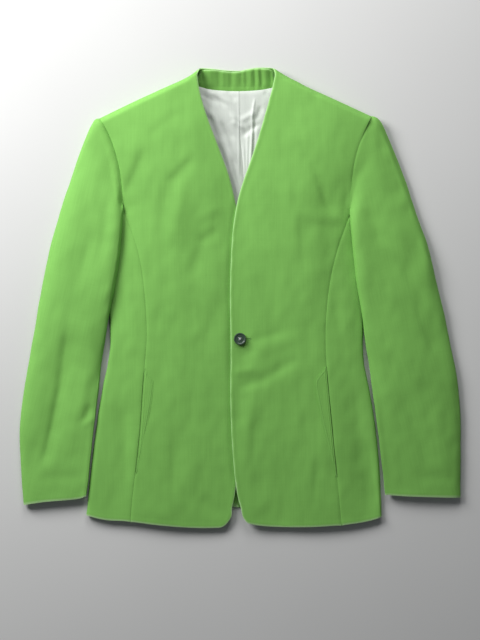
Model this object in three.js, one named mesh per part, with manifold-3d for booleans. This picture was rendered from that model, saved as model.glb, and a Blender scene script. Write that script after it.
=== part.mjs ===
// A collarless one-button blazer, laid flat on its back with the sleeves beside the body.
//
// Millimetres. +Z is up from the surface it lies on, +Y runs from the hem to the neck and +X to the
// wearer's left. The origin is on the surface, under the middle of the outline.
//
// The cloth is a thin wall. Each cut piece is a surface worked out from seam lines and heights, given
// its thickness inwards. Left and right are the wearer's.

import * as THREE from "three";
import { mergeVertices } from "three/addons/utils/BufferGeometryUtils.js";
import Module from "manifold-3d";

const wasm = await Module();
wasm.setup();

// ---------------------------------------------------------------- driving dimensions

const CLOTH = 1.8; // body cloth with its interlining
const SLEEVE_CLOTH = 1.6;
const FACING = 1.2;
const LINING = 1.0;
const SEAM = 0.35; // clearance between two pieces at a seam
const LAYER_GAP = 0.5; // clearance between layers that lie on each other

const LAP_HEIGHT = CLOTH + 1.2; // how much the left front is lifted where it lies on the right one

const ARMHOLE_SEAM = 1.2; // the sleeve's edge leans, so its seam is wider

const SIDE_FOLD = { radius: 7, taper: 3 }; // half width of the round at the side, less at the underarm
const FRONT_ROUND = 12; // how far from its edge the front starts to roll over the shoulder

const SLEEVE_FOLD = 0.085; // half width of the round at the sleeve's folds, as a share of its width
const FORE_SEAM = 0.38; // sleeve seams on the underside, as shares of the width from the inner fold
const HIND_SEAM = 0.84;
const SLEEVE_DROP = 16; // how far past the body's side the sleeve lying over it comes down
const PITCH_STEP = 5.5; // how far the sleeve stands above the front at the bottom of the armhole

const BUTTON = { x: 0, y: -67, radius: 10, thickness: 3.2, rim: 1.6, well: 6.4, depth: 1.0 };
const THREAD_HOLE = { radius: 1.0, spread: 1.8 };
const BUTTONHOLE = { eye: 2.4, length: 17, width: 1.0, through: 60 };
const SHANK_RADIUS = 1.5;

const WELT = 0.9;

// ---------------------------------------------------------------- tables

function table(columns, ...rows) {
  const names = columns.split(" ");
  return rows.map((row) => Object.fromEntries(names.map((name, i) => [name, row[i]])));
}

// The seam lines and edges, each from the hem upwards or from the neck outwards.
const RIGHT = {
  side: -1,
  frontEdge: table("x y",
    [-29, -377], [-19, -365], [-12, -346], [-8, -322], [-3, -285], [6, -225], [13, -150], [15, -67],
    [14, 10], [9, 75], [1, 122], [-7, 156], [-16, 195], [-31, 237], [-46, 276], [-58, 308], [-66, 338],
    [-70, 358], [-69, 370], [-65, 378]),
  princess: table("x y",
    [-180, -367], [-177, -325], [-171, -280], [-165, -225], [-161, -167], [-157, -112], [-153, -69],
    [-155, -15], [-159, 28], [-166, 72], [-177, 106], [-190, 139]),
  armhole: table("x y", [-192, 152], [-194, 186], [-200, 222], [-209, 252], [-219, 276], [-231, 294.5]),
  frontHem: table("x y", [-29, -377], [-60, -378], [-95, -376.5], [-135, -373], [-180, -367]),
  sideHem: table("x y", [-180, -367], [-200, -365.5], [-221, -365], [-237, -361], [-252, -357]),
  shoulder: table("x y",
    [-65, 378], [-76, 368.5], [-97, 357], [-130, 342.5], [-172, 323.5], [-231, 294.5]),
  neck: table("x y", [-4, 371.5], [-22, 372], [-45, 376], [-65, 378]),
  sideFold: table("y x",
    [-400, -256], [-357, -252], [-301, -246], [-255, -241], [-209, -235], [-174, -230], [-133, -222],
    [-101, -215], [-78, -211.5], [-46, -213], [0, -215], [50, -212], [90, -206], [133, -201]),
  sideSeam: table("x y", [-192, -339], [-176, -200], [-162, -80], [-170, 0], [-184, 80], [-195, 133]),
  backArmhole: table("x y",
    [-195, 133], [-199, 147], [-200.7, 165], [-203, 195], [-211, 246], [-231, 294.5]),
  sleeveUnder: table("x y",
    [-193, 151], [-194.5, 143.5], [-199, 137.5], [-204.6, 133.5], [-205.8, 137.5], [-202.3, 148],
    [-202.2, 165], [-204.3, 195], [-212.3, 246], [-231.8, 295.5]),
  underarm: table("x y", [-190, 139], [-196, 136.5], [-201, 133]),
  sleeveOuter: table("x y",
    [-231.6, 295.5], [-239, 290.5], [-249.5, 271], [-260, 247.5], [-270.5, 216], [-282.3, 179.5],
    [-295.3, 142.5], [-309.3, 93.5], [-319.3, 46.5], [-327, 6], [-334, -34], [-341, -76],
    [-348.3, -110], [-353.3, -140], [-359, -178], [-362.5, -216], [-361.3, -258], [-358, -300],
    [-355, -340]),
  sleeveInner: table("x y",
    [-193, 151], [-193.5, 116], [-196.5, 78], [-203.5, 33], [-210, -4], [-218, -44], [-222, -72],
    [-229, -104], [-231.5, -132], [-234, -162], [-239, -200], [-244.5, -246], [-249, -290], [-253, -325]),
  cuff: table("x y", [-253, -325], [-262, -329], [-290, -332], [-325, -335], [-355, -340]),
};

const LEFT = {
  side: 1,
  frontEdge: table("x y",
    [12, -369], [3, -355], [-3, -333], [-8, -300], [-12, -255], [-15, -200], [-16, -150], [-15, -100],
    [-15.5, -55], [-16.5, 0], [-15, 60], [-12, 111], [-6, 152], [2, 182], [13, 213], [25, 247],
    [37, 286], [46, 318], [54, 347], [57, 362], [56.5, 372], [54, 378]),
  princess: table("x y",
    [167, -373], [162, -320], [157, -270], [152, -220], [147, -167], [142, -113], [140, -69],
    [141, -30], [145, 8], [151, 45], [161, 84], [179, 134]),
  armhole: table("x y", [180, 146], [182, 184], [185.5, 217], [193, 247], [203.5, 274], [216, 298]),
  frontHem: table("x y", [12, -369], [34, -374], [70, -376], [118, -376], [167, -373]),
  sideHem: table("x y", [167, -373], [184, -371], [200, -368.5], [217, -365], [232, -360]),
  shoulder: table("x y", [54, 378], [65, 371.5], [88, 357.5], [118, 343], [158, 325], [216, 298]),
  neck: table("x y", [-4, 371.5], [14, 375], [34, 378], [54, 378]),
  sideFold: table("y x",
    [-400, 233.5], [-360, 232], [-313, 230], [-262, 227], [-207, 221.5], [-157, 213.5], [-117, 205],
    [-88, 200], [-60, 201.5], [-30, 202], [10, 204.5], [50, 203], [88, 197], [128, 190]),
  sideSeam: table("x y", [178, -339], [166, -200], [152, -80], [160, 0], [173, 78], [184, 128]),
  backArmhole: table("x y", [184, 128], [187, 143], [189, 162], [191.5, 197], [197, 247], [216, 298]),
  sleeveUnder: table("x y",
    [181, 145], [183, 138], [187.5, 132.5], [193.6, 129], [194.8, 133], [190.5, 144], [190.6, 162],
    [192.9, 197], [198.3, 247], [216.8, 299]),
  underarm: table("x y", [179, 134], [185, 131.5], [190, 128]),
  sleeveOuter: table("x y",
    [216.6, 299], [224, 297], [231, 289.5], [240, 270], [254, 238], [269, 199], [284, 154], [296, 120],
    [307, 91], [317, 52], [328, 2], [338, -40], [347, -82], [356, -128], [361, -165], [362.5, -207],
    [362.5, -250], [362, -328]),
  sleeveInner: table("x y",
    [181, 145], [181.5, 118], [184.5, 84], [189.5, 43], [195.5, 2], [202.5, -43], [209, -89], [216, -138],
    [223, -187], [229.5, -239], [235.5, -288], [239, -323]),
  cuff: table("x y", [239, -323], [275, -325.5], [320, -327], [362, -328]),
};

const BACK_HEM = -344; // the back is cut shorter than the fronts

// Height of the front's outer face above the surface, from the centre out to the side.
const FRONT_HEIGHTS = table("y centre middle flank side",
  [-400, 8, 10, 9.5, 9], [-345, 8.5, 11, 10, 9.5], [-200, 9.5, 13, 12, 10], [-80, 11, 15, 13, 10],
  [40, 13, 20, 14, 9], [140, 14, 27, 16, 8.5], [180, 15, 29, 20, 12], [240, 17, 29, 26, 21],
  [320, 20, 27, 25, 23], [390, 22, 24, 24, 23]);
// Height of the seam where the fronts meet the back, by distance from the centre, how far from it the
// back starts to rise, and whether it slopes up to it or curls round.
const TOP_EDGE = table("out z reach curl", [0, 0.8, 40, 0], [25, 1.6, 40, 0], [45, 4.5, 40, 0],
  [60, 7.5, 36, 0], [77, 9.3, 36, 0], [93, 10.6, 12, 1], [112, 11, 11, 1], [231, 11, 11, 1]);

// Thickness of the flattened sleeve along its length: in the middle and at its two folds.
const SLEEVE_HEIGHTS = table("along middle fold",
  [0, 22, 14], [0.06, 23, 13.5], [0.18, 24, 13], [0.4, 23, 12.5], [0.62, 19, 11], [0.82, 15, 10],
  [1, 12.5, 9.5]);
// How far the sleeve's under seam laps over the side of the body, from the front round the underarm.
const UNDERARM_LAP = table("at lap", [0, 1], [0.09, 1], [0.12, 0.75], [0.15, 0.2], [0.2, 0], [1, 0]);

// Soft folds of the cloth: a line from one end to the other, half width and height, down where negative.
const FRONT_FOLDS = table("x0 y0 x1 y1 width height",
  [-118, 262, -178, 150, 17, -2.6], [-92, 236, -140, 118, 18, -2.2], [-64, 190, -92, 60, 20, -1.8],
  [18, -92, 96, -62, 15, -2.2], [22, -118, 112, -112, 18, 1.6], [-28, -84, -104, -52, 16, 1.4],
  [-196, -120, -210, -340, 16, -1.8], [-108, -210, -112, -360, 18, 1.6], [96, 236, 150, 132, 18, -2.2],
  [122, 66, 96, -20, 20, 1.6], [196, -150, 206, -350, 15, -1.6], [84, -190, 72, -350, 22, -1.6]);
const SLEEVE_FOLDS = {
  right: table("x0 y0 x1 y1 width height",
    [-262, 120, -286, -40, 13, -2.4], [-292, -90, -318, -236, 12, -5.2], [-318, -236, -342, -268, 12, -3.4],
    [-236, -196, -276, -178, 13, 2.0], [-296, 60, -306, -60, 12, 1.8]),
  left: table("x0 y0 x1 y1 width height",
    [232, 214, 246, 130, 12, -3.0], [214, 96, 286, 20, 16, -2.2], [292, 6, 330, -96, 14, -3.0],
    [238, -60, 300, -130, 18, 2.0], [296, 150, 306, 40, 12, 2.0]),
};
const LAP_FADE = table("x lift", [-40, 1], [16, 1], [60, 0], [90, 0]);
// Outline of the pocket facing: how far it reaches from the princess seam.
const POCKET = {
  right: table("y reach", [-287, 1.5], [-237, 8], [-177, 15], [-138, 18], [-115, 1.5]),
  left: table("y reach", [-292, 1.5], [-245, 10], [-187, 18], [-138, 23], [-113, 1.5]),
};
const NECK_SEAM = table("x y",
  [-75, 351], [-50, 344], [-29, 342], [-6, 341], [22, 342], [40, 344], [61, 349]);
const LINING_SEAM = table("x y", [7, 78], [6, 160], [5, 218], [-1, 275], [-1, 340]);
const LINING_FOLDS = table("x0 y0 x1 y1 width height",
  [-34, 332, -4, 268, 9, 2.2], [-44, 300, -14, 214, 10, 2.0], [25, 322, 18, 220, 5, 2.6],
  [-10, 250, 2, 180, 8, 1.6], [44, 330, 30, 290, 8, 2.0]);

// ---------------------------------------------------------------- curves and heights

const clamp01 = (x) => Math.min(1, Math.max(0, x));
const mix = (a, b, t) => a + (b - a) * t;
const ease = (x) => clamp01(x) ** 2 * (3 - 2 * clamp01(x));
const steps = (from, to, count) => Array.from({ length: count + 1 }, (_, i) => mix(from, to, i / count));
const integers = (from, to) => steps(from, to, Math.abs(to - from)).map(Math.round);

// The step of a rising list that a value falls in.
function stepBefore(list, at) {
  const next = list.findIndex((value) => value > at);
  return next < 0 ? list.length - 2 : Math.max(0, next - 1);
}

// A smooth value between the rows of a table, held at its ends.
function along(rows, key, value, at) {
  const last = rows.length - 1;
  const j = stepBefore(rows.map((row) => row[key]), at);
  const slope = (k) => {
    const before = rows[Math.max(0, k - 1)];
    const after = rows[Math.min(last, k + 1)];
    return (after[value] - before[value]) / (after[key] - before[key]);
  };
  const [a, b] = [rows[j], rows[j + 1]];
  const span = b[key] - a[key];
  const t = clamp01((at - a[key]) / span);
  const [t2, t3] = [t * t, t * t * t];
  return (2 * t3 - 3 * t2 + 1) * a[value] + (t3 - 2 * t2 + t) * span * slope(j)
    + (3 * t2 - 2 * t3) * b[value] + (t3 - t2) * span * slope(j + 1);
}

const spline = (...tables) => new THREE.CatmullRomCurve3(
  tables.flat().map(({ x, y }) => new THREE.Vector3(x, y, 0)), false, "centripetal");

// A surface point in plan between four edges.
function patch(bottom, top, left, right) {
  const corner = (curve, at) => curve.getPointAt(at);
  const [c00, c10, c01, c11] = [corner(bottom, 0), corner(bottom, 1), corner(top, 0), corner(top, 1)];
  return (u, v) => new THREE.Vector3()
    .addScaledVector(bottom.getPointAt(u), 1 - v).addScaledVector(top.getPointAt(u), v)
    .addScaledVector(left.getPointAt(v), 1 - u).addScaledVector(right.getPointAt(v), u)
    .addScaledVector(c00, -(1 - u) * (1 - v)).addScaledVector(c10, -u * (1 - v))
    .addScaledVector(c01, -(1 - u) * v).addScaledVector(c11, -u * v);
}

function foldHeight(folds, x, y) {
  return folds.reduce((sum, f) => {
    const [dx, dy] = [f.x1 - f.x0, f.y1 - f.y0];
    const at = ((x - f.x0) * dx + (y - f.y0) * dy) / (dx * dx + dy * dy);
    const across = Math.hypot(x - f.x0 - at * dx, y - f.y0 - at * dy) / f.width;
    const fade = ease((at + 0.25) / 0.4) * ease((1.25 - at) / 0.4);
    return sum + f.height * fade * Math.exp(-across * across);
  }, 0);
}

// A quarter-round: 0 on the edge, 1 from the radius on.
const roll = (distance, radius) => Math.sqrt(1 - (1 - clamp01(distance / radius)) ** 2);

const cutOf = (x) => (x < 0 ? RIGHT : LEFT);
const sideX = (cut, y) => along(cut.sideFold, "y", "x", y);

function heightAcross(x, y) {
  const out = Math.abs(x / sideX(cutOf(x), Math.min(y, 20)));
  const at = (name) => along(FRONT_HEIGHTS, "y", name, y);
  const levels = table("out z",
    [0, at("centre")], [0.5, at("middle")], [0.85, at("flank")], [1, at("side")]);
  return along(levels, "out", "z", out);
}

// The outer face of the two fronts, without the lap of the left one.
const frontTop = (x, y) => heightAcross(x, y) + foldHeight(FRONT_FOLDS, x, y);
const lap = (x) => LAP_HEIGHT * along(LAP_FADE, "x", "lift", x);

// ---------------------------------------------------------------- walls

// A wall between two depths under a surface, sampled at the given places along u and v.
function wall(surface, us, vs, outward, depths) {
  const rows = us.length;
  const columns = vs.length;
  const tiny = 1e-5;
  const ends = [Math.min(...vs), Math.max(...vs)];
  const sides = [Math.min(...us), Math.max(...us)];
  const within = (x, [low, high]) => Math.min(high, Math.max(low, x));
  const normal = (u, v) => {
    const du = surface(within(u + tiny, sides), v).sub(surface(within(u - tiny, sides), v));
    const dv = surface(u, within(v + tiny, ends)).sub(surface(u, within(v - tiny, ends)));
    return du.cross(dv).normalize().multiplyScalar(outward);
  };
  const position = [];
  for (const depth of depths)
    for (const u of us)
      for (const v of vs)
        position.push(...surface(u, v).addScaledVector(normal(u, v), -depth).toArray());
  const index = [];
  const at = (layer, i, j) => (layer * rows + i) * columns + j;
  const quad = (a, b, c, d) => index.push(a, b, c, a, c, d);
  for (let i = 0; i + 1 < rows; i++)
    for (let j = 0; j + 1 < columns; j++) {
      quad(at(0, i, j), at(0, i + 1, j), at(0, i + 1, j + 1), at(0, i, j + 1));
      quad(at(1, i, j), at(1, i, j + 1), at(1, i + 1, j + 1), at(1, i + 1, j));
    }
  const rim = [
    ...integers(0, rows - 1).map((i) => [i, 0]),
    ...integers(1, columns - 1).map((j) => [rows - 1, j]),
    ...integers(rows - 2, 0).map((i) => [i, columns - 1]),
    ...integers(columns - 2, 1).map((j) => [0, j]),
  ];
  rim.forEach(([i, j], k) => {
    const [m, n] = rim[(k + 1) % rim.length];
    const around = [at(0, m, n), at(0, i, j), at(1, i, j), at(1, m, n)];
    if (m < i || n < j) around.push(around.shift());
    quad(...around);
  });
  if (outward < 0) index.reverse();
  return new THREE.BufferGeometry()
    .setAttribute("position", new THREE.Float32BufferAttribute(position, 3))
    .setIndex(index);
}

const group = new THREE.Group();
const GREEN = { color: 0x5fae45, roughness: 0.85, metalness: 0 };
const WHITE = { color: 0xdfe3dc, roughness: 0.6, metalness: 0 };
const HORN = { color: 0x33473b, roughness: 0.35, metalness: 0 };

function add(name, geometry, finish) {
  const mesh = new THREE.Mesh(geometry, new THREE.MeshStandardMaterial(finish));
  mesh.name = name;
  group.add(mesh);
}

const solidOf = (geometry) => {
  const bare = geometry.clone();
  bare.deleteAttribute("normal");
  bare.deleteAttribute("uv");
  const merged = mergeVertices(bare, 1e-4);
  return new wasm.Manifold(new wasm.Mesh({
    numProp: 3,
    vertProperties: new Float32Array(merged.attributes.position.array),
    triVerts: new Uint32Array(merged.index.array),
  }));
};

const geometryOf = (solid) => {
  const { vertProperties, triVerts } = solid.getMesh();
  return new THREE.BufferGeometry()
    .setAttribute("position", new THREE.BufferAttribute(vertProperties, 3))
    .setIndex(new THREE.BufferAttribute(triVerts, 1));
};

// ---------------------------------------------------------------- fronts

const topEdge = (x) => along(TOP_EDGE, "out", "z", Math.abs(x));

// The front's own edge, which clears the back and the neck facing where they slope up under it.
function frontEdgeHeight(x) {
  const curl = clamp01(along(TOP_EDGE, "out", "curl", Math.abs(x)));
  return topEdge(x) + SEAM + (1 - curl) * (CLOTH + LAYER_GAP + FACING);
}

// A long seam and how much of it is the first of its two parts.
function seamOf(first, rest) {
  const curve = spline(first, rest);
  const count = 600;
  const lengths = curve.getLengths(count);
  const joint = Math.round(count * (first.length - 1) / (first.length + rest.length - 1));
  return { curve, share: lengths[joint] / lengths[count] };
}

for (const cut of [RIGHT, LEFT]) {
  cut.frontSeam = seamOf(cut.princess, cut.armhole);
  cut.backSeam = seamOf(cut.sideSeam, cut.backArmhole.slice(1));
}

function frontSurface(cut) {
  const [hem, shoulder, edge] = [cut.frontHem, cut.shoulder, cut.frontEdge].map((rows) => spline(rows));
  const inPlan = patch(hem, shoulder, edge, cut.frontSeam.curve);
  const lift = cut.side > 0 ? lap : () => 0;
  return (u, v) => {
    const p = inPlan(u, v);
    const turn = roll(p.distanceTo(inPlan(u, 1)), FRONT_ROUND);
    return p.setZ(mix(frontEdgeHeight(p.x), frontTop(p.x, p.y) + lift(p.x), turn));
  };
}

// Places up the side seams, and the same places up the seams of the panels next to them.
const SIDE_UP = [...steps(0, 0.93, 16), 0.965, 1];
const panelUp = (share, end) => [...SIDE_UP.map((v) => v * share), ...end.map((v) => mix(share, 1, v))];

const FRONT_ACROSS = [...steps(0, 0.06, 1), ...steps(0.14, 0.9, 7), 0.96, 0.997];
const FRONT_END = [0.06, ...steps(0.2, 0.8, 4), 0.92, 0.94, 0.965, 1];
const frontUp = (cut) => panelUp(cut.frontSeam.share, FRONT_END);
const fronts = { right: frontSurface(RIGHT), left: frontSurface(LEFT) };

add("front_right", wall(fronts.right, FRONT_ACROSS, frontUp(RIGHT), -1, [0, CLOTH]), GREEN);

// The buttonhole: an eye for the shank and a slit away from the edge.
const eye = new THREE.CylinderGeometry(BUTTONHOLE.eye, BUTTONHOLE.eye, BUTTONHOLE.through, 16)
  .rotateX(Math.PI / 2).translate(BUTTON.x, BUTTON.y, 0);
const slit = new THREE.BoxGeometry(BUTTONHOLE.length, BUTTONHOLE.width, BUTTONHOLE.through)
  .translate(BUTTON.x + BUTTONHOLE.length / 2, BUTTON.y, 0);
const leftFront = solidOf(wall(fronts.left, FRONT_ACROSS, frontUp(LEFT), 1, [0, CLOTH]));
add("front_left", geometryOf(leftFront.subtract(solidOf(eye).add(solidOf(slit)))), GREEN);

// Pocket facings, laid on the fronts along the princess seam.
function between(rows, key, value, at) {
  const i = stepBefore(rows.map((row) => row[key]), at);
  const share = (at - rows[i][key]) / (rows[i + 1][key] - rows[i][key]);
  return mix(rows[i][value], rows[i + 1][value], clamp01(share));
}

function rowFor(panel, u, y) {
  let [low, high] = [0, 0.7];
  while (high - low > 1e-9) {
    const half = (low + high) / 2;
    if (panel(u, half).y < y) low = half;
    else high = half;
  }
  return low;
}

function betweenNodes(surface, us, vs) {
  return (u, v) => {
    const [i, j] = [stepBefore(us, u), stepBefore(vs, v)];
    const s = (u - us[i]) / (us[i + 1] - us[i]);
    const t = (v - vs[j]) / (vs[j + 1] - vs[j]);
    return surface(us[i], vs[j]).lerp(surface(us[i + 1], vs[j]), s)
      .lerp(surface(us[i], vs[j + 1]).lerp(surface(us[i + 1], vs[j + 1]), s), t);
  };
}

function pocketFacing(name, surface, cut, outline) {
  const panel = betweenNodes(surface, FRONT_ACROSS, frontUp(cut));
  const edge = FRONT_ACROSS.at(-1);
  const [low, corner, high] = [outline[0].y, outline.at(-2).y, outline.at(-1).y];
  const lifted = (across, y) => {
    const v = rowFor(panel, edge, y);
    const width = panel(edge, v).distanceTo(panel(0, v));
    const reach = between(outline, "y", "reach", y) / width;
    return panel(edge - reach * across, v).add(new THREE.Vector3(0, 0, SEAM + WELT));
  };
  const rows = [...steps(low, corner, 9), mix(corner, high, 0.5), high];
  add(name, wall(lifted, steps(0, 1, 3), rows, -cut.side, [0, WELT]), GREEN);
}

pocketFacing("pocket_welt_right", fronts.right, RIGHT, POCKET.right);
pocketFacing("pocket_welt_left", fronts.left, LEFT, POCKET.left);

// ---------------------------------------------------------------- sides

function sideSurface(cut) {
  const [low, high] = [cut.sideHem.at(-1), cut.underarm.at(-1)];
  const fold = spline(steps(low.y, high.y, 16).map((y) => ({ x: sideX(cut, y), y })));
  const part = ({ curve, share }) => ({ getPointAt: (v) => curve.getPointAt(v * share) });
  const [princess, seam] = [part(cut.frontSeam), part(cut.backSeam)];
  const [hemEnd, top] = [cut.sideSeam[0], cut.sideSeam.at(-1)];
  const above = patch(spline(cut.sideHem), spline(cut.underarm), princess, fold);
  const under = patch(spline([low, hemEnd]), spline([high, top]), fold, seam);
  return (s, v) => {
    const tip = fold.getPointAt(v);
    const radius = SIDE_FOLD.radius - SIDE_FOLD.taper * ease((v - 0.85) / 0.15);
    const start = 1 - radius / tip.distanceTo(princess.getPointAt(v));
    const back = radius / tip.distanceTo(seam.getPointAt(v));
    if (s <= 1) {
      const p = above(s * start, v);
      return p.setZ(frontTop(p.x, p.y));
    }
    if (s >= 2) return under(mix(back, 1, s - 2), v).setZ(0);
    const inner = s < 1.5 ? above(start, v) : under(back, v);
    const height = above(start, v);
    const half = frontTop(height.x, height.y) / 2;
    const angle = Math.PI * (s - 1);
    return inner.lerp(tip, Math.sin(angle)).setZ(half * (1 + Math.cos(angle)));
  };
}

const SIDE_ACROSS = [0.006, ...steps(0.3, 1, 3), ...steps(1, 2, 6).slice(1), 2.45, 2.98];
const sides = { right: sideSurface(RIGHT), left: sideSurface(LEFT) };
add("side_right", wall(sides.right, SIDE_ACROSS, SIDE_UP, -1, [0, CLOTH]), GREEN);
add("side_left", wall(sides.left, SIDE_ACROSS, SIDE_UP, 1, [0, CLOTH]), GREEN);

// ---------------------------------------------------------------- backs

// The back's outer face: it slopes up to the neck, and curls up at a distance below the shoulder seam.
const topLine = [...RIGHT.shoulder.toReversed(), ...RIGHT.neck.slice(0, -1).toReversed(),
  ...LEFT.neck.slice(1), ...LEFT.shoulder.slice(1)];
function backHeight(p, below) {
  const [reach, curl] = ["reach", "curl"].map((name) => along(TOP_EDGE, "out", name, Math.abs(p.x)));
  const slope = 1 - (1 - clamp01((along(topLine, "x", "y", p.x) - p.y) / reach)) ** 2;
  return mix(topEdge(p.x) - SEAM, 0, mix(slope, roll(below, reach), clamp01(curl)));
}

function backSurface(cut) {
  const centre = { x: SEAM / 2 * cut.side, y: BACK_HEM };
  const nape = { x: SEAM / 2 * cut.side, y: cut.neck[0].y };
  const hem = spline([centre, cut.sideSeam[0]]);
  const top = spline([nape, ...cut.neck.slice(1)], cut.shoulder.slice(1));
  const inPlan = patch(hem, top, spline([centre, nape]), cut.backSeam.curve);
  return (u, v) => {
    const p = inPlan(u, v);
    return p.setZ(backHeight(p, p.distanceTo(inPlan(u, 1))));
  };
}

const BACK_ACROSS = [0, 0.1, 0.16, 0.21, 0.26, 0.33, 0.45, 0.62, 0.81, 0.996];
const BACK_END = [0.12, ...steps(0.35, 0.8, 2), 0.86, 0.91, 0.95, 0.98, 1];
const backUp = (cut) => panelUp(cut.backSeam.share, BACK_END);
const backs = { right: backSurface(RIGHT), left: backSurface(LEFT) };
add("back_right", wall(backs.right, BACK_ACROSS, backUp(RIGHT), 1, [0, CLOTH]), GREEN);
add("back_left", wall(backs.left, BACK_ACROSS, backUp(LEFT), -1, [0, CLOTH]), GREEN);

// ---------------------------------------------------------------- sleeves

// The side of the body that the sleeve lies over, and how the sleeve comes down past it.
function bodyUnderSleeve(cut, x, y) {
  const level = Math.min(y, cut.underarm[0].y);
  const fold = sideX(cut, level);
  const past = Math.abs(x) - Math.abs(fold) - 1;
  return (heightAcross(past < 0 ? x : fold, level) + LAYER_GAP) * (1 - ease(past / SLEEVE_DROP));
}

function sleeveSurface(cut, folds) {
  const inner = spline(cut.sleeveInner);
  const outer = spline(cut.sleeveOuter);
  const cuff = spline(cut.cuff);
  const start = cut.sleeveInner[0];
  const end = cut.sleeveOuter[0];
  const seam = cut.armhole.slice(1, -1).map(({ x, y }) => ({ x: x + ARMHOLE_SEAM * cut.side, y }));
  const above = patch(spline([start, ...seam, end]), cuff, inner, outer);
  const below = patch(spline(cut.sleeveUnder), cuff, inner, outer);
  return (s, v) => {
    const under = s < 0 || s > 1;
    const u = s < 0 ? -s : s > 1 ? 2 - s : s;
    const [up, down] = [above(u, v), below(u, v)];
    const middle = 1 - (2 * u - 1) ** 4;
    const thickness = mix(along(SLEEVE_HEIGHTS, "along", "fold", v),
      along(SLEEVE_HEIGHTS, "along", "middle", v), middle);
    const rest = (p) => bodyUnderSleeve(cut, p.x, p.y);
    const atSeam = heightAcross(up.x, up.y) + PITCH_STEP * (1 - ease(u / 0.35));
    const top = mix(atSeam, thickness + 0.6 * rest(up) + foldHeight(folds, up.x, up.y), ease(v / 0.12));
    const bottom = rest(down) * mix(Math.max(0, along(UNDERARM_LAP, "at", "lap", u)), 1, ease(v / 0.05));
    const half = (top - bottom) / 2;
    const edge = Math.min(roll(u, SLEEVE_FOLD), roll(1 - u, SLEEVE_FOLD));
    return (under ? down : up).setZ((top + bottom) / 2 + half * edge * (under ? -1 : 1));
  };
}

const foldNodes = (from, way) => steps(0, Math.PI / 2, 3).map(
  (angle) => from + way * SLEEVE_FOLD * (1 - Math.cos(angle)));
const SLEEVE_GAP = 0.003;
const TOP_AROUND = [-FORE_SEAM + SLEEVE_GAP, -0.29, -0.2, -0.14, ...foldNodes(0, -1).reverse(),
  ...foldNodes(0, 1).slice(1), ...steps(0.19, 0.81, 5), ...foldNodes(1, -1).reverse(),
  ...foldNodes(1, 1).slice(1), 2 - HIND_SEAM - SLEEVE_GAP];
const UNDER_AROUND = [2 - HIND_SEAM + SLEEVE_GAP, ...steps(1.26, 1.54, 3), 2 - FORE_SEAM - SLEEVE_GAP];
const SLEEVE_DOWN = [0, 0.014, 0.03, 0.05, ...steps(0.09, 1, 15)];
const sleeves = {
  right: sleeveSurface(RIGHT, SLEEVE_FOLDS.right),
  left: sleeveSurface(LEFT, SLEEVE_FOLDS.left),
};
add("top_sleeve_right", wall(sleeves.right, TOP_AROUND, SLEEVE_DOWN, 1, [0, SLEEVE_CLOTH]), GREEN);
add("top_sleeve_left", wall(sleeves.left, TOP_AROUND, SLEEVE_DOWN, -1, [0, SLEEVE_CLOTH]), GREEN);
add("under_sleeve_right", wall(sleeves.right, UNDER_AROUND, SLEEVE_DOWN, 1, [0, SLEEVE_CLOTH]), GREEN);
add("under_sleeve_left", wall(sleeves.left, UNDER_AROUND, SLEEVE_DOWN, -1, [0, SLEEVE_CLOTH]), GREEN);

// ---------------------------------------------------------------- back neck facing and lining

const NECK_EDGE_INSET = 1.6;
const neckTop = [...RIGHT.neck.toReversed(), ...LEFT.neck.slice(1)]
  .map(({ x, y }) => ({ x, y: y - NECK_EDGE_INSET }));
const facingPlan = patch(spline(NECK_SEAM), spline(neckTop), spline([NECK_SEAM[0], neckTop[0]]),
  spline([NECK_SEAM.at(-1), neckTop.at(-1)]));
function facingSurface(u, v) {
  const p = facingPlan(u, v);
  return p.setZ(backHeight(p, 0));
}
const onBack = CLOTH + LAYER_GAP;
add("neck_facing", wall(facingSurface, steps(0, 1, 18), [...steps(0, 0.75, 3), 0.88, 0.96, 1], -1,
  [onBack, onBack + FACING]), GREEN);

const LINING_SEAM_GAP = 1.2;
function liningSurface(cut) {
  const { side } = cut;
  const seam = LINING_SEAM.map(({ x, y }) => ({ x: x + side * SEAM / 2, y }));
  const low = { x: side * 52, y: LINING_SEAM[0].y };
  const high = NECK_SEAM.at(side < 0 ? 0 : -1);
  const top = NECK_SEAM.filter(({ x }) => x * side > 2).map(({ x, y }) => ({ x, y: y - LINING_SEAM_GAP }));
  if (side < 0) top.reverse();
  const inPlan = patch(spline([seam[0], low]), spline([seam.at(-1), ...top]), spline(seam),
    spline([low, { x: high.x, y: high.y - LINING_SEAM_GAP }]));
  return (u, v) => {
    const p = inPlan(u, v);
    const flat = ease(v / 0.1) * ease((1 - v) / 0.08) * ease(u / 0.1);
    const folds = flat * Math.max(0, foldHeight(LINING_FOLDS, p.x, p.y));
    return p.setZ(backHeight(p, 0) + onBack + LINING + folds);
  };
}
const liningUp = steps(0, 1, 16);
add("lining_right", wall(liningSurface(RIGHT), steps(0, 1, 7), liningUp, -1, [0, LINING]), WHITE);
add("lining_left", wall(liningSurface(LEFT), steps(0, 1, 7), liningUp, 1, [0, LINING]), WHITE);

// ---------------------------------------------------------------- button

// Highest point of a front under the button.
const discPoints = steps(0, 2 * Math.PI, 16).map((angle) => [Math.cos(angle), Math.sin(angle)]);
const underButton = (radius, lift) => Math.max(...discPoints.map(([c, s]) => {
  const [x, y] = [BUTTON.x + radius * c, BUTTON.y + radius * s];
  return frontTop(x, y) + lift(x);
}));
const seat = underButton(BUTTON.radius, lap) + LAYER_GAP;
const shankFoot = underButton(SHANK_RADIUS, () => 0) + LAYER_GAP;

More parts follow.
